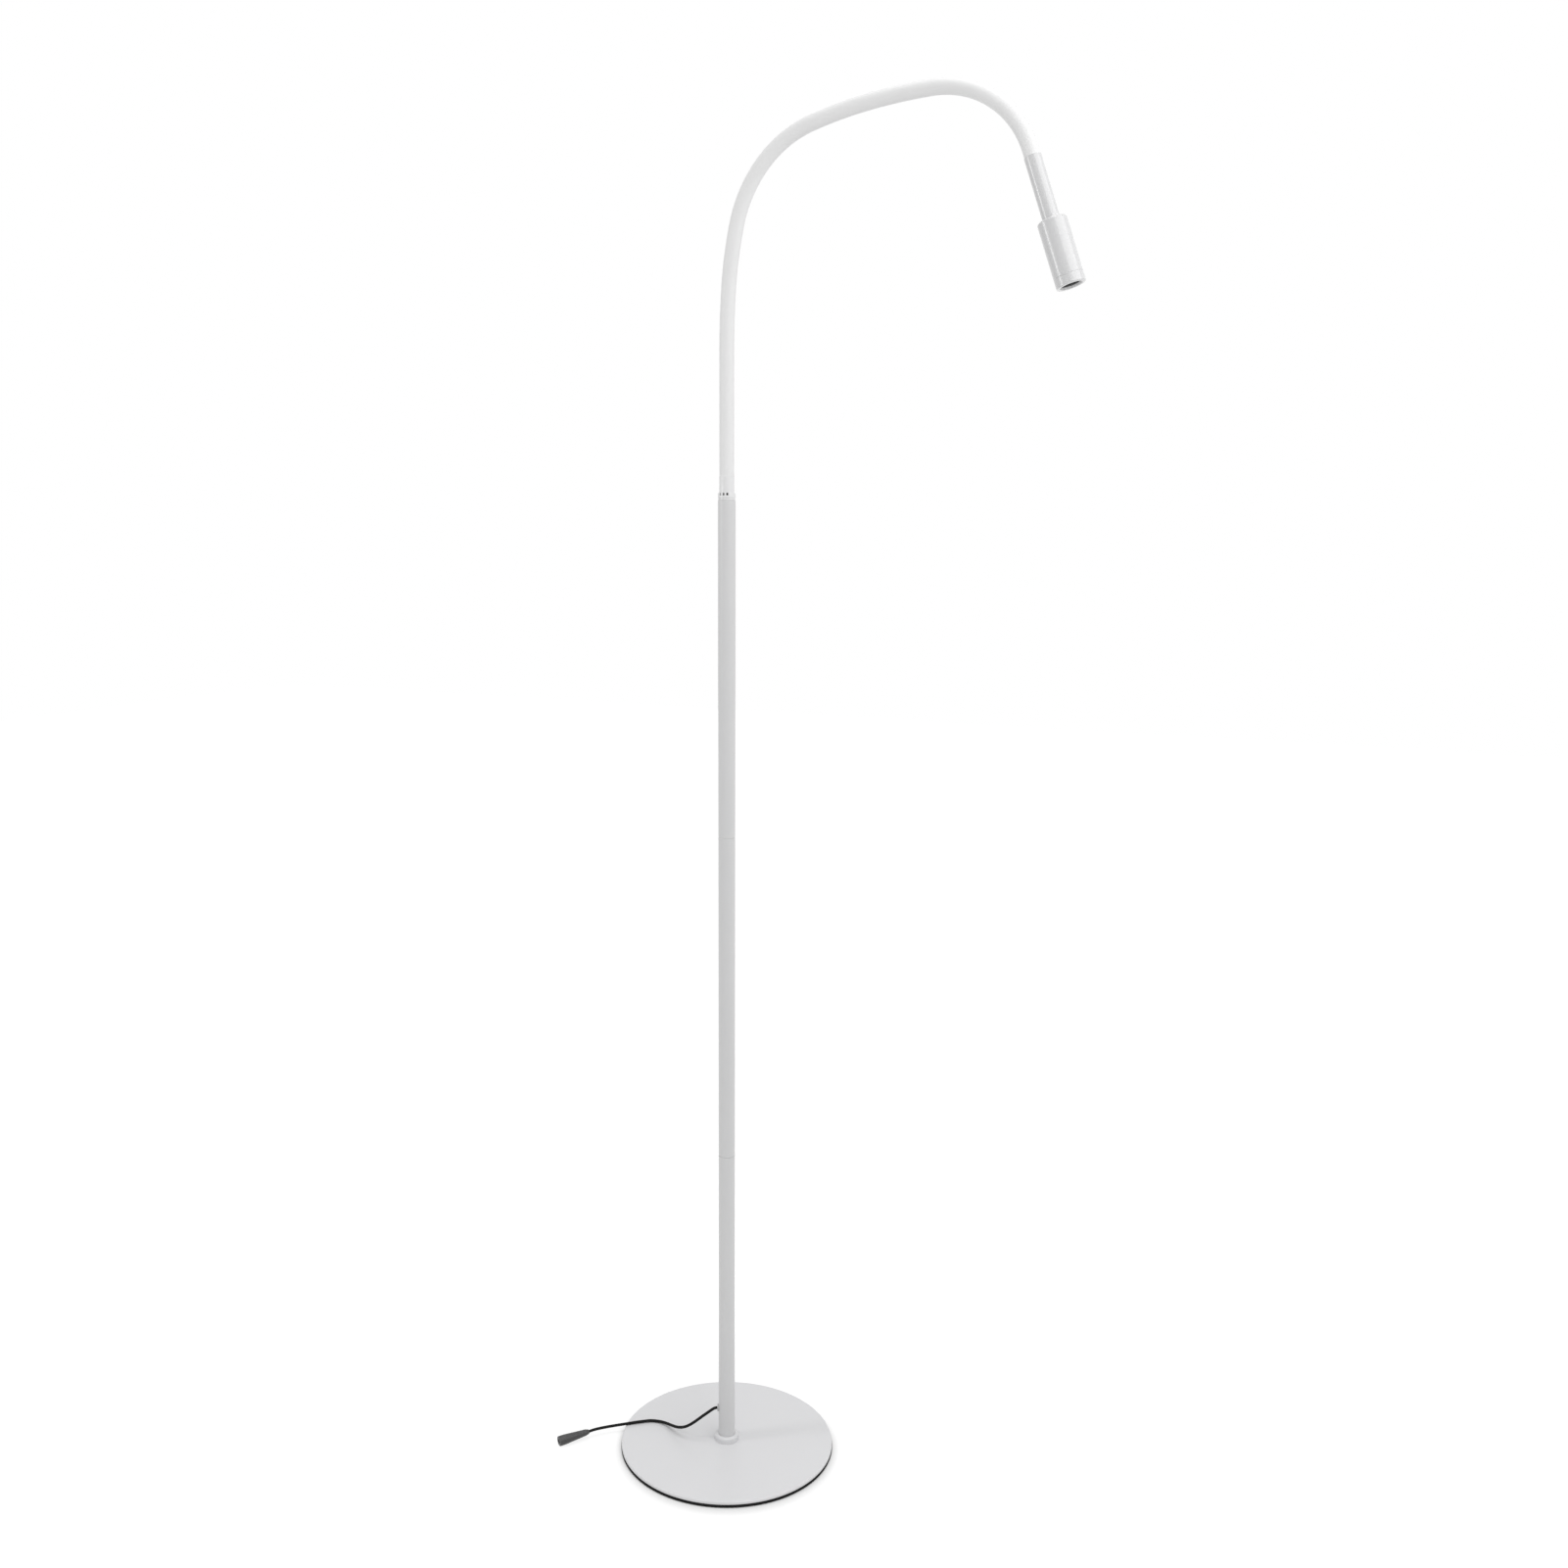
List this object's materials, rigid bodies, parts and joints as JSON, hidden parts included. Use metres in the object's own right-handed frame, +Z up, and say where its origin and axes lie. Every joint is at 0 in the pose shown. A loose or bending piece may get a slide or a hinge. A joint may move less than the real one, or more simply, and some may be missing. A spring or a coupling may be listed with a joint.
{
  "type": "gooseneck curing lamp",
  "caption": "Floor-standing gooseneck curing lamp: thin disc base, jointed pole, bendable sleeved neck and a slim downward lamp head with a recessed lens.",
  "frame": {"origin": "centre of the foam pad's underside, on the floor under the pole", "axes": "+Z up along the pole, +X from the pole towards the lamp head, +Y across, away from the viewer"},
  "size_m": [0.5837, 0.26, 1.57],
  "materials": {
    "white_steel": "satin",
    "white_alloy": "satin",
    "white_sleeve": "satin",
    "black_foam": "matte",
    "plain_steel": "satin",
    "black_lead": "matte",
    "black_cord": "satin",
    "dark_moulding": "satin",
    "contact": "polished",
    "grey_grommet": "satin",
    "bare_alloy": "satin",
    "white_board": "satin",
    "led_resin": "gloss",
    "black_reflector": "satin",
    "clear_glass": "gloss",
    "black_seal": "matte"
  },
  "bodies": {
    "stand": {"base_pad": "black_foam", "base_plate": "white_steel", "base_collar": "white_steel", "base_screw": "plain_steel", "foot_insert": "plain_steel", "pole_lower": "white_steel", "pole_middle": "white_steel", "pole_upper": "white_steel", "lower_coupler": "plain_steel", "upper_coupler": "plain_steel", "top_socket": "white_alloy", "lock_ring": "white_alloy", "ring_washer": "black_seal", "lower_ferrule": "white_alloy", "pole_lead": "black_lead", "cord_grommet": "grey_grommet", "supply_cord": "black_cord", "connector_shell": "dark_moulding", "connector_pin": "contact", "neck_sleeve_1": "white_sleeve", "neck_core_1": "plain_steel", "neck_lead_1": "black_lead"},
    "neck_2": {"neck_sleeve_2": "white_sleeve", "neck_core_2": "plain_steel", "neck_lead_2": "black_lead"},
    "neck_3": {"neck_sleeve_3": "white_sleeve", "neck_core_3": "plain_steel", "neck_lead_3": "black_lead"},
    "neck_4": {"neck_sleeve_4": "white_sleeve", "neck_core_4": "plain_steel", "neck_lead_4": "black_lead"},
    "neck_5": {"neck_sleeve_5": "white_sleeve", "neck_core_5": "plain_steel", "neck_lead_5": "black_lead"},
    "neck_6": {"neck_sleeve_6": "white_sleeve", "neck_core_6": "plain_steel", "neck_lead_6": "black_lead"},
    "neck_7": {"neck_sleeve_7": "white_sleeve", "neck_core_7": "plain_steel", "neck_lead_7": "black_lead"},
    "neck_8": {"neck_sleeve_8": "white_sleeve", "neck_core_8": "plain_steel", "neck_lead_8": "black_lead"},
    "neck_9": {"neck_sleeve_9": "white_sleeve", "neck_core_9": "plain_steel", "neck_lead_9": "black_lead"},
    "head": {"neck_sleeve_10": "white_sleeve", "neck_core_10": "plain_steel", "neck_lead_10": "black_lead", "upper_ferrule": "white_alloy", "head_lead": "black_lead", "head_housing": "white_alloy", "ferrule_nut": "plain_steel", "heat_sink": "bare_alloy", "led_board": "white_board", "led_emitter": "led_resin", "reflector": "black_reflector", "lens": "clear_glass", "lens_seal": "black_seal", "front_bezel": "white_alloy"}
  },
  "joints": [
    {"name": "neck_bend_1", "type": "hinge", "parent": "stand", "child": "neck_2", "pos_m": [0, 0, 1.2455], "axis": [0, 1, 0], "range_deg": [-20, 20]},
    {"name": "neck_sway_1", "type": "hinge", "parent": "neck_2", "child": "neck_3", "pos_m": [0, 0, 1.313], "axis": [1, 0, 0], "range_deg": [-20, 20]},
    {"name": "neck_bend_2", "type": "hinge", "parent": "neck_3", "child": "neck_4", "pos_m": [0.00235, 0, 1.38044], "axis": [0, 1, 0], "range_deg": [-25, 20]},
    {"name": "neck_bend_3", "type": "hinge", "parent": "neck_4", "child": "neck_5", "pos_m": [0.01232, 0, 1.44714], "axis": [0, 1, 0], "range_deg": [-25, 15]},
    {"name": "neck_sway_2", "type": "hinge", "parent": "neck_5", "child": "neck_6", "pos_m": [0.04316, 0, 1.50637], "axis": [0.7431, 0, -0.6691], "range_deg": [-25, 25]},
    {"name": "neck_bend_4", "type": "hinge", "parent": "neck_6", "child": "neck_7", "pos_m": [0.09966, 0, 1.54168], "axis": [0, 1, 0], "range_deg": [-25, 15]},
    {"name": "neck_bend_5", "type": "hinge", "parent": "neck_7", "child": "neck_8", "pos_m": [0.16563, 0, 1.5557], "axis": [0, 1, 0], "range_deg": [-25, 15]},
    {"name": "neck_sway_3", "type": "hinge", "parent": "neck_8", "child": "neck_9", "pos_m": [0.23284, 0, 1.56158], "axis": [0.0349, 0, -0.9994], "range_deg": [-25, 25]},
    {"name": "head_bend", "type": "hinge", "parent": "neck_9", "child": "head", "pos_m": [0.29667, 0, 1.54328], "axis": [0, 1, 0], "range_deg": [-30, 8]}
  ]
}
